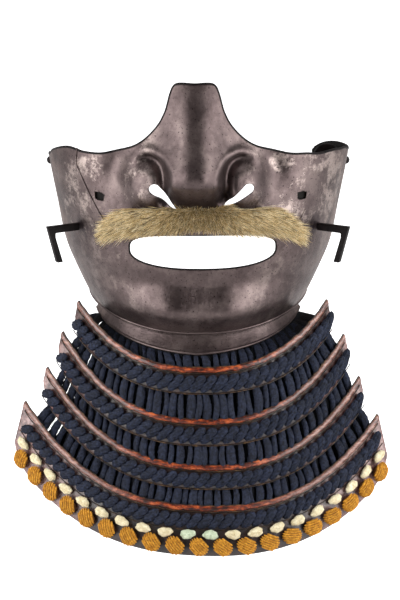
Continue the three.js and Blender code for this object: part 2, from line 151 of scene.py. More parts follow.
def beside(path, across, z):
    """Distance from a smooth path of (across, height) points, and how far along it, 0 to 1."""
    points = curve_through(path, 28)
    nearest = np.full(np.shape(across), 1e9)
    along = np.zeros(np.shape(across))
    for i, (a, b) in enumerate(zip(points[:-1], points[1:])):
        reach = b - a
        t = ((across - a[0]) * reach[0] + (z - a[1]) * reach[1]) / (reach @ reach)
        t = np.clip(t, 0, 1)
        distance = np.hypot(across - a[0] - t * reach[0], z - a[1] - t * reach[1])
        closer = distance < nearest
        nearest = np.where(closer, distance, nearest)
        along = np.where(closer, (i + t) / (len(points) - 1), along)
    return nearest, along


# The face.
def relief(x, z):
    """How far the face stands out of the plain plan curve."""
    across = np.abs(x - NOSE_SHIFT)
    fall = np.clip((NOSE_TOP - z) / (NOSE_TOP - NOSE_TIP), 0, 1)
    under = smooth(NOSE_BASE - 10, NOSE_TIP + 9, z)
    ridge = (6 + (NOSE_REACH - 6) * fall ** 1.25) * under
    half_width = mix(17.5, 12.6, smooth(0.2, 1.0, fall)) + 2 * smooth(120, 100, z)
    nose = ridge * np.exp(-(across / half_width) ** (2.0 + 1.0 * fall))
    ball_up = (z - 84) / 14
    ball_out = (across - 26) / 11.5
    ball = 9 * np.exp(-(ball_up ** 2 + ball_out ** 2) ** 1.5)
    distance, along = beside(WING_ARCH, across, z)
    fade = smooth(1.0, 0.55, along)
    arch = (2.4 * bump(distance / 6.5) + 2.6 * bump(distance / 2.6)) * fade * smooth(0, 0.2, along)
    distance, along = beside(WING_GROOVE, across, z)
    groove = -5.6 * bump(distance / 3.2) * smooth(1.0, 0.5, along)
    distance, along = beside(CHEEK_VALLEY, across, z)
    valley = -3.2 * bump(distance / 6.5) * smooth(0, 0.4, along) * smooth(1, 0.5, along)
    cheek = 1.5 * bump((across - 60) / 16) * bump((z - 86) / 22)
    lip = 2.5 * bump(x / 38) * bump((z - 64) / 7)
    chin = 4.5 * bump((np.abs(x) - 19) / 15) * bump((z - 15) / 11)
    philtrum = -1.5 * bump(x / 10) * bump((z - 26) / 7)
    return nose + ball + arch + groove + valley + cheek + lip + chin + philtrum


def shell_point(share, z):
    """A point of the shell's outer face: share runs from -1, the left rear edge, to 1."""
    share, z = np.broadcast_arrays(np.asarray(share, float), np.asarray(z, float))
    side = np.where(share < 0, -1.0, 1.0)
    along = np.abs(share)
    width = follow(HALF_WIDTH, z)
    turn = np.minimum(along / SIDE_SHARE, 1) * math.pi / 2
    front_x = side * width * np.sin(turn)
    out = relief(front_x, z) * np.sqrt(np.maximum(0, np.cos(turn)))
    front_y = -follow(FRONT_DEPTH, z) * np.cos(turn) - out
    back = np.clip((along - SIDE_SHARE) / (1 - SIDE_SHARE), 0, 1)
    curl = np.where(side < 0, CURL_LEFT, CURL_RIGHT) * smooth(20, 90, z)
    rear = along > SIDE_SHARE
    x = np.where(rear, side * (width - curl * back ** 2), front_x)
    y = np.where(rear, follow(REAR_DEPTH, z) * back, front_y)
    return np.stack([x + SHELL_SHIFT, y, z], axis=-1)


def shell_top(share):
    share = np.asarray(share, float)
    along = np.abs(share)
    x = TOP_WIDTH * np.sin(np.minimum(1, along / SIDE_SHARE) * math.pi / 2)
    shifted = np.abs(x * np.sign(share) - NOSE_SHIFT * smooth(60, 20, x))
    back = np.clip((along - SIDE_SHARE) / (1 - SIDE_SHARE), 0, 1)
    drop = np.where(share < 0, DROP_LEFT, DROP_RIGHT)
    corner = RIGHT_CORNER["rise"] * smooth(*RIGHT_CORNER["span"], x)
    dip = RIGHT_DIP["depth"] * bump((x - RIGHT_DIP["x"]) / RIGHT_DIP["width"])
    uneven = np.where(share > 0, corner - dip, 0)
    return follow(TOP_EDGE, shifted) + uneven - drop * back - 6 * back ** 6


def shell_bottom(share):
    return BOTTOM_RISE * smooth(0.05, 1, np.abs(share))


def crowd(u):
    """Draws the steps along the shell closer together towards the nose."""
    return np.sign(u) * np.abs(u) ** 1.3


def shell_grid(columns, rows):
    """Points of the outer face and the directions square to it, as rows of columns."""
    share = crowd(np.linspace(-1, 1, columns + 1))[None, :]
    v = np.linspace(0, 1, rows + 1)[:, None]
    points = shell_point(share, mix(shell_bottom(share), shell_top(share), v))
    across = np.gradient(points, axis=1)
    upward = np.gradient(points, axis=0)
    return points, unit(np.cross(across, upward))


# Meshes.
def place(points):
    return (np.asarray(points, float) + CHIN_SEAT) / 1000


def add_piece(name, points, faces, material, slot, nodes=()):
    """A smooth mesh that rides on the root body and stands for the named CAD nodes."""
    mesh = bpy.data.meshes.new(name)
    mesh.from_pydata(place(points).tolist(), [], faces)
    mesh.polygons.foreach_set("use_smooth", [True] * len(mesh.polygons))
    mesh.materials.append(material)
    mesh.update()
    piece = bpy.data.objects.new(name, mesh)
    bpy.context.scene.collection.objects.link(piece)
    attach(piece, "root")
    if nodes:
        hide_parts(*nodes)
    return piece


def quads(rows, columns, wrap=False, start=0):
    """Four-sided faces over a grid of rows and columns of points."""
    index = start + np.arange(rows * columns).reshape(rows, columns)
    if wrap:
        index = np.concatenate([index, index[:, :1]], axis=1)
    a, b = index[:-1, :-1], index[:-1, 1:]
    c, d = index[1:, 1:], index[1:, :-1]
    return np.stack([a, b, c, d], axis=-1).reshape(-1, 4).tolist()


def closed_sheet(outer, inner):
    """Joins an outer and an inner grid of points into one closed sheet."""
    rows, columns = outer.shape[:2]
    size = rows * columns
    faces = quads(rows, columns)
    faces += [face[::-1] for face in quads(rows, columns, start=size)]
    index = np.arange(size).reshape(rows, columns)
    for line, turned in ((index[0], False), (index[-1], True), (index[:, 0], True), (index[:, -1], False)):
        for a, b in zip(line[:-1].tolist(), line[1:].tolist()):
            face = [a, a + size, b + size, b]
            faces.append(face[::-1] if turned else face)
    return np.concatenate([outer.reshape(-1, 3), inner.reshape(-1, 3)]), faces


def loft(rings):
    """A closed form through rings of points, each ring closed on itself."""
    rings = np.asarray(rings)
    count, around = rings.shape[:2]
    faces = quads(count, around, wrap=True)
    faces.append(list(range(around))[::-1])
    faces.append(list(range((count - 1) * around, count * around)))
    return rings.reshape(-1, 3), faces


def gather(parts):
    """Several (points, faces) put together as one."""
    points, faces, start = [], [], 0
    for part_points, part_faces in parts:
        points.append(part_points)
        faces.extend([[i + start for i in face] for face in part_faces])
        start += len(part_points)
    return np.concatenate(points), faces


def tube(line, radius, around=8, up=(0, 0, 1)):
    """A round tube along a line of points, with a radius for each point or one for all."""
    line = np.asarray(line, float)
    ahead = unit(np.gradient(line, axis=0))
    side = unit(np.cross(ahead, np.asarray(up, float)))
    third = np.cross(side, ahead)
    turn = np.linspace(0, 2 * math.pi, around, endpoint=False)
    radius = np.broadcast_to(np.asarray(radius, float), (len(line),))[:, None, None]
    ring = np.cos(turn)[None, :, None] * side[:, None, :] + np.sin(turn)[None, :, None] * third[:, None, :]
    return loft(line[:, None, :] + radius * ring)


# The outlines cut through the shell.
def squared(value):
    """Makes the mouth's corners squarer than an ellipse's."""
    return np.sign(value) * np.abs(value) ** MOUTH["squareness"]


def mouth_outline(steps=72):
    turn = np.linspace(0, 2 * math.pi, steps, endpoint=False)
    up = squared(np.sin(turn))
    reach = np.where(up < 0, MOUTH["middle"] - MOUTH["low"], MOUTH["high"] - MOUTH["middle"])
    x = MOUTH["shift"] + MOUTH["half_width"] * squared(np.cos(turn))
    return np.stack([x, MOUTH["middle"] + reach * up], axis=-1)


def nostril_outline(side):
    """A slot with a round upper end that narrows towards the nose."""
    upper = np.array([side * NOSTRIL["upper"][0] + NOSTRIL["shift"], NOSTRIL["upper"][1]])
    lower = np.array([side * NOSTRIL["lower"][0] - NOSTRIL["shift"], NOSTRIL["lower"][1]])
    angle = math.atan2(*(lower - upper)[::-1])
    turns = angle + math.pi / 2 + np.linspace(0, math.pi, 17)
    outline = upper + NOSTRIL["radius"] * np.stack([np.cos(turns), np.sin(turns)], axis=-1)
    ends = np.array([angle - math.pi / 2, angle, angle + math.pi / 2])
    tip = lower + NOSTRIL["tip"] * np.stack([np.cos(ends), np.sin(ends)], axis=-1)
    return np.concatenate([outline, tip])


def cheek_hole_outline(side):
    x = side * CHEEK_HOLE["x"] + CHEEK_HOLE["shift"]
    w, h = CHEEK_HOLE["width"] / 2, CHEEK_HOLE["height"] / 2
    corners = [(-w, -h * 0.7), (-w * 0.4, -h), (w * 0.8, -h), (w, h * 0.6), (w * 0.3, h), (-w, h)]
    return np.array([(x + dx, CHEEK_HOLE["z"] + dz) for dx, dz in corners])


def front_cutter(outline, near, far):
    """A straight cutter through the front of the shell, from y = -near to y = -far."""
    rings = []
    for depth in (near, far):
        y = np.full(len(outline), -float(depth))
        rings.append(np.stack([outline[:, 0], y, outline[:, 1]], axis=-1))
    points, faces = loft(rings)
    mesh = bpy.data.meshes.new("cutter")
    mesh.from_pydata(place(points).tolist(), [], faces)
    cutter = bpy.data.objects.new("cutter", mesh)
    bpy.context.scene.collection.objects.link(cutter)
    return cutter


def cut_openings(piece, cheek_holes=True):
    """Cuts the mouth, the nostrils and the cheek holes, and keeps the result as the piece's mesh."""
    cutters = [front_cutter(mouth_outline(), 40, 110)]
    for side in (-1, 1):
        cutters.append(front_cutter(nostril_outline(side), 40, 110))
        if cheek_holes:
            cutters.append(front_cutter(cheek_hole_outline(side), 30, 90))
    for cutter in cutters:
        cut = piece.modifiers.new("opening", "BOOLEAN")
        cut.operation = "DIFFERENCE"
        cut.solver = "MANIFOLD"
        cut.object = cutter
    bpy.context.view_layer.update()
    ready = piece.evaluated_get(bpy.context.evaluated_depsgraph_get())
    mesh = bpy.data.meshes.new_from_object(ready)
    piece.modifiers.clear()
    piece.data = mesh
    for cutter in cutters:
        bpy.data.objects.remove(cutter)


# Materials.
def new_material(name):
    material = bpy.data.materials.new(name)
    material.use_nodes = True
    tree = material.node_tree
    return material, tree, tree.nodes["Principled BSDF"]


def noise(tree, scale, detail=5, roughness=0.6, stretch=(1, 1, 1)):
    """Noise in the piece's own coordinates; scale is in features per metre."""
    coordinates = tree.nodes.new("ShaderNodeTexCoord")
    mapping = tree.nodes.new("ShaderNodeMapping")
    mapping.inputs["Scale"].default_value = stretch
    texture = tree.nodes.new("ShaderNodeTexNoise")
    texture.inputs["Scale"].default_value = scale
    texture.inputs["Detail"].default_value = detail
    texture.inputs["Roughness"].default_value = roughness
    tree.links.new(coordinates.outputs["Object"], mapping.inputs["Vector"])
    tree.links.new(mapping.outputs["Vector"], texture.inputs["Vector"])
    return texture.outputs["Fac"]


def ramp(tree, factor, stops):
    """Colours or greys at positions from 0 to 1 along a factor."""
    node = tree.nodes.new("ShaderNodeValToRGB")
    elements = node.color_ramp.elements
    while len(elements) < len(stops):
        elements.new(0.5)
    for element, (position, colour) in zip(elements, stops):
        element.position = position
        shade = (colour,) * 3 if isinstance(colour, (int, float)) else colour
        element.color = (*shade, 1)
    tree.links.new(factor, node.inputs["Fac"])
    return node.outputs["Color"]


def blend(tree, factor, first, second):
    """first where the factor is 0, second where it is 1."""
    node = tree.nodes.new("ShaderNodeMix")
    node.data_type = "RGBA"
    tree.links.new(factor, node.inputs["Factor"])
    for socket, value in ((node.inputs[6], first), (node.inputs[7], second)):
        if isinstance(value, tuple):
            socket.default_value = (*value, 1)
        else:
            tree.links.new(value, socket)
    return node.outputs[2]


def product(tree, first, second):
    node = tree.nodes.new("ShaderNodeMath")
    node.operation = "MULTIPLY"
    tree.links.new(first, node.inputs[0])
    tree.links.new(second, node.inputs[1])
    return node.outputs[0]


def coordinate(tree, axis):
    """The piece's own coordinate along X, Y or Z, in metres."""
    coordinates = tree.nodes.new("ShaderNodeTexCoord")
    split = tree.nodes.new("ShaderNodeSeparateXYZ")
    tree.links.new(coordinates.outputs["Object"], split.inputs["Vector"])
    return split.outputs[axis]


def distance_from(tree, spot):
    """How far a point of the piece is from a place in the part's frame, in metres."""
    coordinates = tree.nodes.new("ShaderNodeTexCoord")
    node = tree.nodes.new("ShaderNodeVectorMath")
    node.operation = "DISTANCE"
    node.inputs[1].default_value = spot
    tree.links.new(coordinates.outputs["Object"], node.inputs[0])
    return node.outputs["Value"]


def sized(tree, value):
    """The size of a value, without its sign."""
    node = tree.nodes.new("ShaderNodeMath")
    node.operation = "ABSOLUTE"
    tree.links.new(value, node.inputs[0])
    return node.outputs[0]


def between(tree, value, low, high):
    """0 at low and below, 1 at high and above."""
    node = tree.nodes.new("ShaderNodeMapRange")
    node.interpolation_type = "SMOOTHSTEP"
    node.inputs["From Min"].default_value = low
    node.inputs["From Max"].default_value = high
    tree.links.new(value, node.inputs["Value"])
    return node.outputs["Result"]


def roughen(tree, shader, *layers):
    """Adds bump layers, each a height, a depth in metres and a strength."""
    normal = None
    for height, distance, strength in layers:
        node = tree.nodes.new("ShaderNodeBump")
        node.inputs["Distance"].default_value = distance
        node.inputs["Strength"].default_value = strength
        tree.links.new(height, node.inputs["Height"])
        if normal is not None:
            tree.links.new(normal, node.inputs["Normal"])
        normal = node.outputs["Normal"]
    tree.links.new(normal, shader.inputs["Normal"])


def russet_iron():
    """Smooth brown iron with darker clouds, fine pits, paler patches that are part wear and part painted
    highlight, and a reddish rear that is part rust and part painted reflection.
    """
    material, tree, shader = new_material("russet_iron")
    clouds = noise(tree, 60, 9, 0.72)
    colour = ramp(tree, clouds, [(0.38, (0.07, 0.05, 0.049)), (0.5, (0.105, 0.077, 0.075)),
                                 (0.62, (0.155, 0.118, 0.112))])
    # Paler mottled patches: part wear, part painted highlight, kept to the cheeks and the upper face where
    # the side lights fall.
    worn = ramp(tree, noise(tree, 48, 10, 0.78), [(0.52, 0.0), (0.6, 1.0)])
    cheek_highlight_mask = between(tree, sized(tree, coordinate(tree, "X")), 0.018, 0.036)
    high = ramp(tree, between(tree, coordinate(tree, "Z"), 0.02, 0.05), [(0.0, 0.3), (1.0, 1.0)])
    patches = product(tree, product(tree, worn, cheek_highlight_mask), high)
    colour = blend(tree, patches, colour, (0.36, 0.29, 0.265))
    for spot in ((-0.066, 0.026, 0.0365), (0.064, 0.026, 0.0365)):
        stain = between(tree, distance_from(tree, spot), 0.011, 0.002)
        stain = product(tree, stain, ramp(tree, noise(tree, 330, 6, 0.7), [(0.38, 0.3), (0.55, 1.0)]))
        colour = blend(tree, stain, colour, (0.02, 0.012, 0.016))
    # Reddish towards the rear: part rust, part a painted reflection of the bright room behind.
    rust_and_rear_reflection = between(tree, coordinate(tree, "Y"), 0.03, 0.09)
    colour = blend(tree, product(tree, rust_and_rear_reflection, ramp(tree, clouds, [(0.4, 0.2), (0.6, 0.9)])), colour,
                   (0.3, 0.17, 0.13))
    specks = ramp(tree, noise(tree, 900, 2, 0.5), [(0.30, 0.0), (0.36, 1.0)])
    colour = blend(tree, specks, (0.03, 0.02, 0.02), colour)
    tree.links.new(colour, shader.inputs["Base Color"])
    shader.inputs["Metallic"].default_value = 0.82
    rough = ramp(tree, noise(tree, 110, 8, 0.75), [(0.35, 0.3), (0.65, 0.46)])
    tree.links.new(rough, shader.inputs["Roughness"])
    roughen(tree, shader, (noise(tree, 750, 4, 0.6), 0.00016, 0.5), (noise(tree, 190, 8, 0.7), 0.0006, 0.4))
    return material


def black_iron():
    material, tree, shader = new_material("black_iron")
    colour = ramp(tree, noise(tree, 200, 5), [(0.35, (0.003, 0.002, 0.002)), (0.7, (0.014, 0.009, 0.009))])
    tree.links.new(colour, shader.inputs["Base Color"])
    shader.inputs["Roughness"].default_value = 0.4
    shader.inputs["Specular IOR Level"].default_value = 0.12
    roughen(tree, shader, (noise(tree, 500, 4), 0.0003, 0.4))
    return material


def lining_lacquer():
    material, tree, shader = new_material("lining_lacquer")
    colour = ramp(tree, noise(tree, 60, 5), [(0.35, (0.002, 0.002, 0.002)), (0.7, (0.008, 0.005, 0.004))])
    tree.links.new(colour, shader.inputs["Base Color"])
    shader.inputs["Roughness"].default_value = 0.75
    shader.inputs["Specular IOR Level"].default_value = 0.2
    roughen(tree, shader, (noise(tree, 300, 4), 0.0003, 0.3))
    return material


def worn_lacquer():
    """Orange-red at the middle of a lame, pinkish tan towards its ends, worn through to brown."""
    material, tree, shader = new_material("red_lacquer")
    streaks = noise(tree, 330, 9, 0.75, (0.5, 0.5, 1.3))
    middle = ramp(tree, streaks, [(0.42, (0.022, 0.007, 0.005)), (0.5, (0.16, 0.022, 0.008)),
                                  (0.6, (0.62, 0.13, 0.03))])
    ends = ramp(tree, streaks, [(0.38, (0.06, 0.022, 0.016)), (0.52, (0.22, 0.09, 0.065)),
                                (0.64, (0.5, 0.27, 0.21))])
    to_end = between(tree, sized(tree, coordinate(tree, "X")), 0.022, 0.06)
    tree.links.new(blend(tree, to_end, middle, ends), shader.inputs["Base Color"])
    shader.inputs["Roughness"].default_value = 0.34
    shader.inputs["Coat Weight"].default_value = 0.6
    shader.inputs["Coat Roughness"].default_value = 0.22
    roughen(tree, shader, (streaks, 0.0004, 0.5), (noise(tree, 700, 4), 0.0002, 0.5))
    return material


def plate_lacquer():
    """Dark brown lacquer on the face of a lame, pinkish brown at its ends."""
    material, tree, shader = new_material("plate_lacquer")
    clouds = noise(tree, 210, 8, 0.7)
    middle = ramp(tree, clouds, [(0.4, (0.01, 0.006, 0.006)), (0.62, (0.05, 0.024, 0.02))])
    ends = ramp(tree, clouds, [(0.38, (0.06, 0.025, 0.025)), (0.5, (0.2, 0.1, 0.09)),
                               (0.62, (0.42, 0.26, 0.24))])
    to_end = between(tree, sized(tree, coordinate(tree, "X")), 0.05, 0.088)
    tree.links.new(blend(tree, to_end, middle, ends), shader.inputs["Base Color"])
    shader.inputs["Roughness"].default_value = 0.3
    shader.inputs["Coat Weight"].default_value = 0.6
    shader.inputs["Coat Roughness"].default_value = 0.2
    roughen(tree, shader, (clouds, 0.0007, 0.6))
    return material


def edge_lacquer():
    """Blackened edges with a little bare yellow-brown showing."""
    material, tree, shader = new_material("edge_lacquer")
    chips = noise(tree, 260, 8, 0.75)
    colour = ramp(tree, chips, [(0.46, (0.012, 0.008, 0.007)), (0.56, (0.07, 0.035, 0.015)),
                                (0.68, (0.2, 0.12, 0.05))])
    tree.links.new(colour, shader.inputs["Base Color"])
    shader.inputs["Roughness"].default_value = 0.4
    roughen(tree, shader, (noise(tree, 600, 4), 0.0003, 0.5))
    return material


def cord_material(name, dark, light, scale=700, patch=0.55):
    """Matt silk cord with fine threads."""
    material, tree, shader = new_material(name)
    threads = noise(tree, scale, 6, 0.75)
    patches = noise(tree, 120, 4, 0.6)
    fine = ramp(tree, threads, [(0.4, dark), (0.66, light)])
    tone = ramp(tree, patches, [(0.3, patch), (0.7, 1.0)])
    node = tree.nodes.new("ShaderNodeMix")
    node.data_type = "RGBA"
    node.blend_type = "MULTIPLY"
    node.inputs["Factor"].default_value = 1
    tree.links.new(fine, node.inputs[6])
    tree.links.new(tone, node.inputs[7])
    tree.links.new(node.outputs[2], shader.inputs["Base Color"])
    shader.inputs["Roughness"].default_value = 0.7
    shader.inputs["Specular IOR Level"].default_value = 0.3
    roughen(tree, shader, (threads, 0.0007, 0.8))
    return material


def hair_material(name, dark, light):
    material, tree, shader = new_material(name)
    colour = ramp(tree, noise(tree, 420, 4, 0.6), [(0.3, dark), (0.7, light)])
    tree.links.new(colour, shader.inputs["Base Color"])
    shader.inputs["Roughness"].default_value = 0.55
    return material


# The iron pieces.
def build_shell(iron, lining):
    points, normals = shell_grid(340, 130)
    shell = add_piece("shell_iron", *closed_sheet(points, points - IRON * normals), iron, "russet_iron",
                      ["face_shell"])
    cut_openings(shell)
    points, normals = shell_grid(226, 86)
    inside = closed_sheet(points - (IRON + 0.12) * normals, points - (IRON + LINING) * normals)
    skin = add_piece("shell_lining", *inside, lining, "black_iron")
    cut_openings(skin, cheek_holes=False)


def shell_line(shares, heights, stand=0.0):
    """Points on the shell's outer face, moved out of it by a distance."""
    step = 0.003
    points = shell_point(shares, heights)
    across = shell_point(shares + step, heights) - shell_point(shares - step, heights)
    upward = shell_point(shares, heights + 0.3) - shell_point(shares, heights - 0.3)
    return points + stand * unit(np.cross(across, upward))


def share_at(x, z):
    """The share round the shell's front at which it reaches x, at height z."""
    sine = np.clip((x - SHELL_SHIFT) / follow(HALF_WIDTH, z), -1, 1)
    return np.arcsin(sine) / (math.pi / 2) * SIDE_SHARE


def build_rims(dark):
    """The worn dark rims round the shell's edge and the mouth."""
    shares = crowd(np.linspace(-0.995, 0.995, 420))
    lines = [shell_line(shares, shell_top(shares), -0.5)]
    heights = np.linspace(0, 1, 60)
    for side in (-1, 1):
        rear = np.full(60, side * 0.995)
        lines.append(shell_line(rear, mix(shell_bottom(rear), shell_top(rear), heights), -0.5))
    rims = gather([tube(line, 0.72, 8, (0, 0.3, 1)) for line in lines])
    add_piece("shell_rim", *rims, dark, "black_iron")
    mouth = mouth_outline()
    mouth = np.concatenate([mouth, mouth[:1]])
    lip = shell_line(share_at(mouth[:, 0], mouth[:, 1]), mouth[:, 1], -0.45)
    add_piece("mouth_rim", *tube(lip, 0.55, 8, (0, 1, 0)), dark, "black_iron")


def build_seams(iron):
    """The raised lines of the iron: the left side plate's seam, the right side's mark and the jaw."""
    seam = curve_through(SIDE_SEAM, 60)
    seam_line = shell_line(share_at(seam[:, 0], seam[:, 1]), seam[:, 1], 0.15)
    add_piece("side_plate_edge", *tube(seam_line, 0.5, 8, (0, 0.3, 1)), iron, "russet_iron")
    seam = curve_through(SIDE_SEAM_RIGHT, 30)
    seam_line = shell_line(share_at(seam[:, 0], seam[:, 1]), seam[:, 1], 0.1)
    add_piece("side_plate_mark", *tube(seam_line, 0.35, 8, (0, 0.3, 1)), iron, "russet_iron")
    shares = np.linspace(-0.7, 0.7, 260)
    jaw = shell_line(shares, shell_bottom(shares) + 0.5, -0.1)
    add_piece("jaw_edge", *tube(jaw, 0.75, 10, (0, 0.3, 1)), iron, "russet_iron")


def build_shaded_lobe(dark):
    """The black lobe of the lining that shows behind the right rear corner; its black is part lacquer, part
    painted shade.
    """
    turns = np.linspace(0, 2 * math.pi, 41)
    lobe = np.stack([LOBE["x"] + LOBE["half_width"] * np.cos(turns[:-1]), np.full(40, float(LOBE["y"])),
                     LOBE["z"] + LOBE["half_height"] * np.sin(turns[:-1])], axis=-1)
    middle = np.array([LOBE["x"], LOBE["y"], LOBE["z"]])
    steps = ((0.9, -1.0), (0.98, -0.7), (1.0, 0.0), (0.98, 0.7), (0.9, 1.0))
    rings = [middle + (lobe - middle) * size + (0, depth, 0) for size, depth in steps]
    add_piece("lining_lobe_shaded", *loft(rings), dark, "black_iron")


def flange_plan(turn, z, outward):
    """A point round the jaw line at a turn in radians, moved outward."""
    direction = np.stack([np.sin(turn) / FLANGE["half_width"], -np.cos(turn) / FLANGE["depth"],
                          np.zeros_like(turn)], axis=-1)
    x = SHELL_SHIFT + FLANGE["half_width"] * np.sin(turn)
    y = -FLANGE["depth"] * np.cos(turn)
    return np.stack([x, y, z], axis=-1) + outward[..., None] * unit(direction)


def on_flange(share, outward, down, pushed=0.0):
    """A point of the flange: outward and down are shares of its own reach and drop."""
    share, outward, down, pushed = np.broadcast_arrays(
        *(np.asarray(value, float) for value in (share, outward, down, pushed)))
    side = np.abs(share)
    turn = np.radians(share * FLANGE["sweep"])
    high = shell_bottom(np.abs(turn) / (math.pi / 2) * SIDE_SHARE) - GAP
    reach = mix(FLANGE["flare"], FLANGE["side_flare"], side)
    drop = mix(FLANGE["drop"], FLANGE["side_drop"], side)
    return flange_plan(turn, high - drop * down, reach * outward + pushed)


def build_flange(iron):
    """The neck flange curves out from the jaw line to a rolled edge."""
    down = np.linspace(-0.1, 0.94, 14)
    outward = 0.12 + 0.88 * np.maximum(down, 0) ** 1.15
    roll = np.radians(np.linspace(-60, 150, 9))
    share = np.linspace(-1, 1, 181)[:, None]
    outer = on_flange(share, outward, down)
    rolled = on_flange(share, 1.0, 0.92 - 0.1 * np.sin(roll), -0.9 + 1.1 * np.cos(roll))[:, ::-1]
    inner = on_flange(share, outward, down, -1.5)[:, ::-1]
    rings = np.concatenate([outer, rolled, inner], axis=1)
    add_piece("flange", *loft(rings), iron, "russet_iron", ["neck_flange"])


def build_hooks(dark):
    half = HOOK["width"] / 2
    arm, drop, lean = HOOK["arm"], HOOK["drop"], HOOK["lean"]
    inside = arm - HOOK["width"] * 1.1
    outline = [(-1.2, half), (arm + 0.6, half + 0.2), (arm - lean + 0.4, -drop), (arm - lean - 3.0, -drop),
               (inside, -half - HOOK["upright"]), (inside, -half), (-1.2, -half)]
    for side, name in ((-1, "hook_left"), (1, "hook_right")):
        root = shell_point(side * HOOK["share"], HOOK["z"])
        heading = math.radians(180 + HOOK["forward"] if side < 0 else -HOOK["forward"])
        out = np.array([math.cos(heading), math.sin(heading), 0])
        across = np.array([-out[1], out[0], 0])
        root = root + (GAP + 1) * out
        profile = np.array([root + out * reach + (0, 0, up) for reach, up in outline])
        rings = [profile - across * HOOK["thick"] / 2, profile + across * HOOK["thick"] / 2]
        piece = add_piece(name + "_bar", *loft(rings), dark, "black_iron", [name])
        for polygon in piece.data.polygons:
            polygon.use_smooth = False
        bevel = piece.modifiers.new("worn_edges", "BEVEL")
        bevel.width = 0.0004
        bevel.segments = 3
        bevel.limit_method = "ANGLE"


def build_rivets(dark):
    for side, name in ((-1, "rivet_left"), (1, "rivet_right")):
        seat = shell_line(np.array([side * RIVET["share"]]), np.array([RIVET["z"]]), GAP)[0]
        base = shell_point(side * RIVET["share"], RIVET["z"])
        out = unit(seat - base)
        rings = []
        side_way = unit(np.cross(out, (0, 0, 1)))
        up_way = np.cross(side_way, out)
        turns = np.linspace(0, 2 * math.pi, 20, endpoint=False)
        circle = np.cos(turns)[:, None] * side_way + np.sin(turns)[:, None] * up_way
        for rise in np.radians(np.linspace(0, 86, 8)):
            ring = RIVET["radius"] * math.cos(rise) * circle
            rings.append(base + ring + out * (RIVET["height"] + GAP) * math.sin(rise))
        add_piece(name + "_head", *loft(rings), dark, "black_iron", [name])


# The throat guard.
def lame_edge(lame, turn):
    """A point of a lame's top edge, at a turn in degrees from straight ahead."""
    angle = np.radians(turn)
    across = np.sin(angle) / math.sin(math.radians(lame["sweep"]))
    z = lame["z"] + lame["rise"] * np.abs(across) ** LAME_POWER - lame["roll"] * across
    x = lame["shift"] + lame["radius"] * np.sin(angle)
    y = lame["radius"] - lame["front"] - lame["radius"] * np.cos(angle)
    return np.stack([x, y, z], axis=-1)


def lame_frame(lame, share, down):
    """The edge point and the directions along, outward from and down a lame."""
    turn = share * (lame["sweep"] - END_CUT * down / lame["radius"])
    along = unit(lame_edge(lame, turn + 0.5) - lame_edge(lame, turn - 0.5))
    angle = np.radians(turn)
    outward = np.stack([np.sin(angle), -np.cos(angle), np.zeros_like(angle)], axis=-1)
    return lame_edge(lame, turn), along, outward, unit(np.cross(along, outward))


def on_lame(lame, share, outward, down):
    """A point on a lame: outward from its inner face and down from its top edge."""
    share, outward, down = np.broadcast_arrays(
        *(np.asarray(value, float) for value in (share, outward, down)))
    edge, _, out, downward = lame_frame(lame, share, down)
    return edge + downward * down[..., None] + out * (outward + LAME_FLARE * down)[..., None]


def lame_height(lame, share):
    return lame["height"] - CORNER_LOSS * np.abs(share) ** 24


def even_shares(lame, count, reach, down):
    """Shares that space a number of places evenly along a lame."""
    shares = np.linspace(-reach, reach, 801)
    steps = np.linalg.norm(np.diff(on_lame(lame, shares, 0, down), axis=0), axis=1)
    lengths = np.concatenate([[0], np.cumsum(steps)])
    return np.interp(np.linspace(0, lengths[-1], count), lengths, shares), lengths[-1]


def build_lame(lame, name, body, lacquer, edging):
    """The plate, with a rounded top edge and a thin dark bead along it."""
    share = np.linspace(-1, 1, 241)[:, None]
    height = lame_height(lame, share)
    wave = 0.12 * np.sin(share * 37) + 0.09 * np.sin(share * 91 + 1)
    thick = LAME_THICK
    top = [(0, 0.5), (0.25, 0.12), (0.8, 0), (1.35, 0.12), (thick, 0.5)]
    rings = [on_lame(lame, share, outward, down + wave) for outward, down in top]
    rings += [on_lame(lame, share, thick, height * part) for part in (0.2, 0.4, 0.6, 0.8, 0.97)]
    rings += [on_lame(lame, share, thick * 0.7, height), on_lame(lame, share, thick * 0.3, height)]
    rings += [on_lame(lame, share, 0, height * part) for part in (0.97, 0.7, 0.4)]
    points, faces = loft(np.concatenate(rings, axis=1)[:, ::-1])
    add_piece(name + "_plate", points, faces, body, "red_lacquer", [name])
    section = [(0.3, 0.1), (0.8, -0.12), (1.4, 0.0), (1.75, 0.5), (1.85, 1.2), (1.8, 1.9), (1.7, 2.5),
               (1.0, 2.5)]
    facing = [on_lame(lame, share, outward, down + wave) for outward, down in section]
    add_piece(name + "_facing", *loft(np.concatenate(facing, axis=1)[:, ::-1]), lacquer, "red_lacquer")
    share = share[:, 0]
    bead = on_lame(lame, share, 0.75, 0.1 + wave[:, 0])
    beads = [tube(bead, 0.5, 8)]
    beads.append(tube(on_lame(lame, share * 0.985, thick + 0.2, 3.1 + wave[:, 0]), 0.3, 6))
    beads.append(tube(on_lame(lame, share * 0.985, thick + 0.15, ROPE_TOP + lame["rope"] + 1.2), 0.3, 6))
    add_piece(name + "_edging", *gather(beads), edging, "red_lacquer")


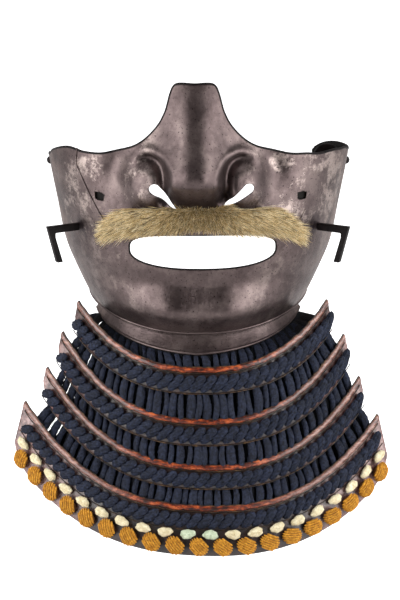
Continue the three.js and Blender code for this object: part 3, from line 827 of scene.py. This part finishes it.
def rope_lobe(centre, axis, side, out, length, width, thick, twist):
    """One turn of the rope: a plump spindle with threads running round it."""
    stations = np.linspace(-1, 1, 13)
    turns = np.linspace(0, 2 * math.pi, 36, endpoint=False)
    swell = (1 - np.abs(stations) ** 2.6) ** 0.5
    swell = np.maximum(swell, 0.08)[:, None]
    sway = 0.9 * np.sin(stations * math.pi / 2)[:, None]
    threads = 1 - 0.36 * (1 - np.abs(np.sin(3.5 * (turns[None, :] + twist * stations[:, None])))) ** 1.1
    across = swell * threads * np.cos(turns) * width / 2 + sway
    outward = swell * threads * np.sin(turns) * thick / 2
    forward = np.broadcast_to(stations[:, None] * length / 2, across.shape)
    rings = (centre + forward[..., None] * axis + across[..., None] * side + outward[..., None] * out)
    return loft(rings)


def build_rope(lame, name, cord):
    """The row of slanted cross lacing on the front of a lame."""
    middle = ROPE_TOP + lame["rope"] / 2
    _, run = even_shares(lame, 2, ROPE_SHARE, middle)
    count = round(run / ROPE_PITCH)
    shares, _ = even_shares(lame, count, ROPE_SHARE - 0.02, middle)
    lobes = []
    for share in shares:
        centre = on_lame(lame, share, LAME_THICK + GAP + ROPE_THICK * 0.42, middle)
        _, along, out, downward = lame_frame(lame, share, middle)
        slant = math.radians(62 - 10 * share + rng.uniform(-4, 4))
        axis = along * math.cos(slant) - downward * math.sin(slant)
        side = along * math.sin(slant) + downward * math.cos(slant)
        length = (lame["rope"] + 1.6) / math.sin(slant) * rng.uniform(0.96, 1.04)
        width = ROPE_PITCH * 1.06 * rng.uniform(0.92, 1.08)
        tipped = unit(axis + out * 0.12)
        lobes.append(rope_lobe(centre, tipped, side, out, length, width, ROPE_THICK * 1.45, 1.1))
    add_piece(name + "_rope", *gather(lobes), cord, "blue_lace", [name])


def lace(top, bottom, side, out, width, thick, belly, sway, steps):
    """One free lace: a flat cord that bulges outward a little and shows its braid."""
    stations = np.linspace(0, 1, steps + 1)
    turns = np.linspace(0, 2 * math.pi, steps, endpoint=False)
    line = mix(top, bottom, stations[:, None]) + out * (belly * np.sin(stations * math.pi))[:, None]
    line = line + side * (sway * np.sin(stations * 1.6 * math.pi))[:, None]
    length = np.linalg.norm(bottom - top)
    braid = np.abs(np.sin(stations[:, None] * length * 1.2 + 2.4 * np.abs(np.cos(turns))))
    size = 1 - 0.16 * braid
    pinch = (1 - 0.35 * np.abs(2 * stations - 1) ** 3)[:, None]
    across = np.cos(turns) * size * pinch * width / 2
    outward = np.sin(turns) * size * thick / 2
    return loft(line[:, None, :] + across[..., None] * side + outward[..., None] * out)


def build_laces(upper, lame, name, cord, shaded_back_cord):
    """Two layers of free laces between an upper edge and the lame below it; the back layer is in a darker
    copy of the cord, painted shade.
    """
    _, run = even_shares(lame, 2, LACE_SHARE, 0)
    for layer, (suffix, material) in enumerate((("front", cord), ("back", shaded_back_cord))):
        laces = []
        place_along = 0.0
        turn = 0
        while place_along < run:
            width = (5.6, 3.6)[turn % 2] * rng.uniform(0.9, 1.1)
            share = mix(-LACE_SHARE, LACE_SHARE, min(1, (place_along + width / 2 + layer * 2.4) / run))
            depth = layer * 2.3
            top = upper(share) - np.array([0, 0, 0.2])
            _, along, out, _ = lame_frame(lame, share, 3.0)
            bottom = on_lame(lame, share, -GAP - LACE_THICK / 2 - depth * 0.8, LACE_TUCK - 1)
            top = top - out * depth
            belly = rng.uniform(0.8, 2.2) * (1 - layer)
            top = top + along * rng.uniform(-0.7, 0.7)
            bottom = bottom + along * rng.uniform(-0.9, 0.9)
            sway = rng.uniform(-0.9, 0.9)
            thick = LACE_THICK * 1.35
            laces.append(lace(top, bottom, along, out, width, thick, belly, sway, LACE_STEPS[layer]))
            place_along += width + rng.uniform(0.25, 0.95)
            turn += 1
        nodes = [name] if layer == 0 else []
        add_piece(f"{name}_{suffix}", *gather(laces), material, "blue_lace", nodes)


def build_shade_backing(upper, lame, name, shade_sheet):
    """A near-black sheet of painted shade that closes the gaps between the laces, short of the left end."""
    shares = np.linspace(-0.80, 0.93, 90)
    _, _, out, _ = lame_frame(lame, shares, 3.0)
    top = np.stack([upper(share) for share in shares]) - out * 4.2 + (0, 0, 0.4)
    bottom = on_lame(lame, shares, -GAP - LACE_THICK - 1.6, LACE_TUCK)
    outer = mix(top[None], bottom[None], np.linspace(1, 0, 5)[:, None, None])
    add_piece(name + "_cloth", *closed_sheet(outer, outer - 0.3 * out[None]), shade_sheet, "blue_lace")


def under_flange(share):
    return on_flange(share, 1, 1, -0.6) - np.array([0, 0, 0.3])


def under_lame(lame):
    return lambda share: on_lame(lame, share, 0.3, lame_height(lame, share) - 0.4)


def knot_places(knot):
    lame = LAMES[-1]
    down = lame["height"] - knot["up"]
    shares, _ = even_shares(lame, knot["count"], knot["share"], down)
    for share in shares:
        centre = on_lame(lame, share, LAME_THICK + GAP + knot["depth"] / 2, down)
        _, along, out, downward = lame_frame(lame, share, down)
        yield share, centre, along, out, downward


def build_white_knots(cream, pale_green):
    """Small cream knots, each a puckered pad with a fold across it."""
    for i, (_, centre, along, out, downward) in enumerate(knot_places(WHITE_KNOT), 1):
        tilt = math.radians(rng.uniform(-12, 12))
        wide = along * math.cos(tilt) + downward * math.sin(tilt)
        high = downward * math.cos(tilt) - along * math.sin(tilt)
        rings = []
        phase = rng.uniform(0, 6, 3)
        turns = np.linspace(0, 2 * math.pi, 28, endpoint=False)
        for rise in np.linspace(0.04, math.pi - 0.04, 15):
            spread = math.sin(rise)
            lobed = 1 + 0.07 * np.sin(3 * turns + phase[0]) + 0.05 * np.sin(7 * turns + phase[1])
            fold = 1 - 0.22 * bump((np.cos(turns) * spread - 0.15 * math.sin(phase[2])) / 0.2)
            x = spread * np.cos(turns) * lobed * WHITE_KNOT["width"] / 2
            z = spread * np.sin(turns) * lobed * WHITE_KNOT["height"] / 2
            y = -math.cos(rise) * fold * WHITE_KNOT["depth"] / 2 * (1 + 0.1 * np.sin(5 * turns + phase[2]))
            rings.append(centre + x[:, None] * wide + z[:, None] * high - y[:, None] * out)
        material = pale_green if i in (10, 11) else cream
        number = f"{i:02d}"
        add_piece("knot_white_" + number, *loft(rings), material, "cream_cord", ["white_knot_" + number])


def knot_core(centre, along, downward, out):
    """The low round pad under the turns of a gold knot."""
    turns = np.linspace(0, 2 * math.pi, 24, endpoint=False)
    circle = np.cos(turns)[:, None] * along * 4.6 + np.sin(turns)[:, None] * downward * 4.0
    sizes = ((0.9, -1.8), (1.0, -1.0), (0.96, 0.0), (0.8, 1.0), (0.5, 1.7))
    return loft([centre + circle * size + out * rise for size, rise in sizes])


def build_gold_knots(gold, shadow):
    """Larger ochre knots, each a round pad of parallel turns of cord."""
    turns_of_cord = 7
    cores = []
    for i, (share, centre, along, out, downward) in enumerate(knot_places(GOLD_KNOT), 1):
        lean = np.interp(share, [-1, -0.3, 0.3, 1], [70, 50, 35, -35]) + rng.uniform(-6, 6)
        lean = math.radians(lean)
        axis = along * math.cos(lean) + downward * math.sin(lean)
        side = along * math.sin(lean) - downward * math.cos(lean)
        cords = []
        for k in range(turns_of_cord):
            offset = (k - (turns_of_cord - 1) / 2) / (turns_of_cord / 2) * 0.94
            half = math.sqrt(1 - offset ** 2 * 0.93)
            reach = np.linspace(-1, 1, 25) * half
            rise = np.sqrt(np.maximum(0, 1 - offset ** 2 * 0.6 - reach ** 2 * 0.95))
            grain = 1 + 0.08 * np.sin(reach * 42 + k * 2)
            middle = centre + axis * (reach * GOLD_KNOT["width"] / 2)[:, None]
            middle = middle + side * offset * GOLD_KNOT["height"] / 2 * 0.9
            middle = middle + out * (rise * GOLD_KNOT["depth"] * 0.62 - GOLD_KNOT["depth"] * 0.32)[:, None]
            taper = np.sqrt(np.clip(1.06 - np.linspace(-1, 1, 25) ** 8, 0.1, 1))
            cords.append(tube(middle, 0.64 * grain * taper, 10, out))
        number = f"{i:02d}"
        add_piece("knot_gold_" + number, *gather(cords), gold, "gold_cord", ["gold_knot_" + number])
        cores.append(knot_core(centre, along, downward, out))
    add_piece("knot_gold_cores", *gather(cores), shadow, "gold_cord")


# The moustache.
def moustache_place(u, v):
    """A point of the face under the moustache, u along it and v up it, both 0 to 1."""
    share = mix(MOUSTACHE_REACH[0], MOUSTACHE_REACH[1], u)
    x = np.abs(shell_point(share, np.full_like(share, MOUTH["high"]))[..., 0])
    end = np.sin(math.pi * mix(0.015, 0.985, u)) ** 0.35
    top = follow(MOUSTACHE_TOP, x)
    bottom = follow(MOUSTACHE_BOTTOM, x)
    return shell_line(share, (top + bottom) / 2 + (v - 0.5) * (top - bottom) * end, MOUSTACHE_STAND)


def build_moustache_pad(fur):
    """The skin that carries the hair."""
    u = np.linspace(0.02, 0.98, 70)[None, :]
    v = np.linspace(0.08, 0.92, 14)[:, None]
    u, v = np.broadcast_arrays(u, v)
    inner = moustache_place(u, v) + (0, 0.8, 0)
    swell = (np.sin(math.pi * u) * np.sin(math.pi * (v - 0.06) / 0.88)) ** 0.6
    outer = inner - np.stack([np.zeros_like(u), 0.6 + 4.2 * swell, np.zeros_like(u)], axis=-1)
    add_piece("moustache_pad", *closed_sheet(outer, inner), fur, "moustache_fur", ["moustache"])


def strands(roots, ways, lengths, droop, radius):
    """Tapered three-sided hairs that bend downward towards their tips."""
    stations = np.array([0, 0.4, 0.75, 1.0])
    down = np.array([0, 0, -1.0])
    along = stations[None, :, None] * lengths[:, None, None]
    bend = (stations ** 2)[None, :, None] * (lengths * droop)[:, None, None]
    line = roots[:, None, :] + ways[:, None, :] * along + down * bend
    side = unit(np.cross(ways, (0.05, 0.1, 1.0)))
    third = np.cross(side, ways)
    width = radius * np.array([1.0, 0.95, 0.65])
    rings = []
    for k in range(3):
        turn = k / 3 * 2 * math.pi
        spoke = math.cos(turn) * side + math.sin(turn) * third
        rings.append(line[:, :3] + width[None, :, None] * spoke[:, None, :])
    body = np.stack(rings, axis=2).reshape(len(roots), 9, 3)
    points = np.concatenate([body, line[:, 3:]], axis=1)
    pattern = []
    for i in range(2):
        for k in range(3):
            n = (k + 1) % 3
            pattern.append([3 * i + k, 3 * i + n, 3 * i + 3 + n])
            pattern.append([3 * i + k, 3 * i + 3 + n, 3 * i + 3 + k])
    for k in range(3):
        pattern.append([6 + k, 6 + (k + 1) % 3, 9])
    faces = np.array(pattern)[None, :, :] + 10 * np.arange(len(roots))[:, None, None]
    return points.reshape(-1, 3), faces.reshape(-1, 3).tolist()


def build_hair(name, count, material):
    """Hair rooted on the moustache: short and forward at the middle, combed outward at the sides."""
    u = rng.uniform(0.15, 0.88, count)
    v = rng.uniform(0.04, 0.97, count)
    roots = moustache_place(u, v)
    sideways = (u - 0.5) * 2
    comb = np.sign(sideways) * smooth(0.0, 0.38, np.abs(sideways))
    forward = mix(1.0, 0.28, np.abs(comb))
    scatter = mix(1.0, 0.6, np.abs(comb))
    ways = np.stack([comb * 1.0 + rng.normal(0, 0.22, count) * scatter,
                     -forward + rng.normal(0, 0.1, count),
                     mix(0.05, -0.2, np.abs(comb)) + (v - 0.5) * 0.9 * (1 - np.abs(comb) * 0.5)
                     + rng.normal(0, 0.15, count) * scatter], axis=-1)
    lengths = mix(6.5, 13.5, np.abs(comb)) * rng.uniform(0.7, 1.1, count)
    lengths = lengths * (1 - 0.35 * smooth(0.9, 1.0, np.abs(sideways)))
    droop = rng.uniform(0.02, 0.2, count)
    points, faces = strands(roots, unit(ways), lengths, droop, HAIR_RADIUS)
    add_piece(name, points, faces, material, "moustache_fur")


# The stage.
def seen_or_felt(tree, seen, felt, strength):
    """Sets a strength to one value as seen directly and to another as light on the object."""
    path = tree.nodes.new("ShaderNodeLightPath")
    node = tree.nodes.new("ShaderNodeMapRange")
    node.inputs["To Min"].default_value = felt
    node.inputs["To Max"].default_value = seen
    tree.links.new(path.outputs["Is Camera Ray"], node.inputs["Value"])
    tree.links.new(node.outputs["Result"], strength)


def build_floor():
    """A plain white floor a little below the guard."""
    floor = bpy.data.meshes.new("floor")
    reach, low = 6.0, -0.16
    floor.from_pydata([(-reach, -1.2, low), (reach, -1.2, low), (reach, reach, low), (-reach, reach, low)],
                      [], [(0, 1, 2, 3)])
    material, tree, shader = new_material("floor_white")
    shader.inputs["Base Color"].default_value = (0.9, 0.9, 0.9, 1)
    shader.inputs["Emission Color"].default_value = (1, 1, 1, 1)
    seen_or_felt(tree, SEEN_WHITE, 0.12, shader.inputs["Emission Strength"])
    floor.materials.append(material)
    ground = bpy.data.objects.new("floor", floor)
    bpy.context.scene.collection.objects.link(ground)


def build_room():
    """A white room behind the guard and a dark one in front of it."""
    world = bpy.data.worlds.new("room")
    bpy.context.scene.world = world
    world.use_nodes = True
    tree = world.node_tree
    background = tree.nodes["Background"]
    coordinates = tree.nodes.new("ShaderNodeTexCoord")
    split = tree.nodes.new("ShaderNodeSeparateXYZ")
    tree.links.new(coordinates.outputs["Generated"], split.inputs["Vector"])
    behind = between(tree, split.outputs["Y"], -0.25, 0.3)
    felt = ramp(tree, behind, [(0.0, 0.015), (1.0, 1.0)])
    path = tree.nodes.new("ShaderNodeLightPath")
    shade = blend(tree, path.outputs["Is Camera Ray"], felt, (1.0, 1.0, 1.0))
    tree.links.new(shade, background.inputs["Color"])
    seen_or_felt(tree, SEEN_WHITE, 0.35, background.inputs["Strength"])


def add_box_light(name, spot, target, size, power):
    light = bpy.data.lights.new(name, "AREA")
    light.shape = "RECTANGLE"
    light.size, light.size_y = size
    light.energy = power
    lamp = bpy.data.objects.new(name, light)
    bpy.context.scene.collection.objects.link(lamp)
    lamp.location = spot
    aim = np.array(target, float) - np.array(spot, float)
    tilt = math.atan2(math.hypot(aim[0], aim[1]), -aim[2])
    heading = math.atan2(aim[1], aim[0]) - math.pi / 2
    lamp.rotation_euler = (tilt, 0, heading)


def build_lights():
    middle = (0, 0.03, 0.0)
    add_box_light("box_left", (-1.0, -0.44, 0.3), middle, (1.25, 1.1), 18)
    add_box_light("box_right", (1.0, -0.44, 0.3), middle, (1.25, 1.1), 18)
    add_box_light("box_top", (0, 0.25, 1.2), middle, (1.0, 0.5), 4)


def build_camera():
    """The camera looks down a little at the front of the guard, and sees 328 mm of height."""
    target = np.array([0, 0.0326, -0.005])
    distance, elevation, seen = 2.2, math.radians(15), 0.3276
    camera = bpy.data.cameras.new("camera")
    camera.sensor_fit = "VERTICAL"
    camera.sensor_height = 24
    camera.lens = 24 * distance / seen
    eye = bpy.data.objects.new("camera", camera)
    eye.location = target + distance * np.array([0, -math.cos(elevation), math.sin(elevation)])
    eye.rotation_euler = (math.pi / 2 - elevation, 0, 0)
    bpy.context.scene.collection.objects.link(eye)
    bpy.context.scene.camera = eye
    bpy.context.scene.view_settings.view_transform = "Standard"


iron = russet_iron()
dark = black_iron()
build_shell(iron, lining_lacquer())
build_rims(dark)
build_seams(iron)
build_shaded_lobe(dark)
build_flange(iron)
build_hooks(dark)
build_rivets(dark)

body = plate_lacquer()
lacquer = worn_lacquer()
edging = edge_lacquer()
blue = cord_material("blue_lace", (0.0015, 0.0025, 0.009), (0.032, 0.043, 0.088))
# A darker copy of the blue cord: painted shade for the back laces and for the sheet in the gaps.
blue_shaded = cord_material("blue_lace_shaded", (0.001, 0.0015, 0.004), (0.005, 0.007, 0.014))
uppers = [under_flange] + [under_lame(lame) for lame in LAMES[:-1]]
for number, (lame, upper) in enumerate(zip(LAMES, uppers), 1):
    build_lame(lame, f"lame_{number}", body, lacquer, edging)
    build_laces(upper, lame, f"lacing_{number}", blue, blue_shaded)
    build_shade_backing(upper, lame, f"lacing_{number}", blue_shaded)
    build_rope(lame, f"cross_lacing_{number}", blue)
build_white_knots(
    cord_material("cream_cord", (0.72, 0.6, 0.36), (1.0, 0.92, 0.66), 420, 0.85),
    cord_material("green_cord", (0.5, 0.58, 0.4), (0.85, 0.95, 0.72), 420, 0.85),
)
build_gold_knots(
    cord_material("gold_cord", (0.4, 0.15, 0.006), (0.86, 0.42, 0.04), 700, 0.8),
    # A darker copy of the gold cord: painted shade on the pads under the knots' turns.
    cord_material("gold_core_shaded", (0.1, 0.035, 0.004), (0.2, 0.08, 0.01), 500, 0.8),
)

tan = hair_material("tan_hair", (0.42, 0.28, 0.1), (0.78, 0.57, 0.26))
build_moustache_pad(hair_material("hair_roots", (0.17, 0.11, 0.045), (0.3, 0.21, 0.1)))
build_hair("moustache_mid", 8000, tan)
build_hair("moustache_light", 6500, hair_material("light_hair", (0.8, 0.63, 0.36), (1.0, 0.9, 0.62)))
build_hair("moustache_dark", 3500, hair_material("dark_hair", (0.05, 0.03, 0.012), (0.13, 0.085, 0.035)))

build_floor()
build_room()
build_lights()
build_camera()
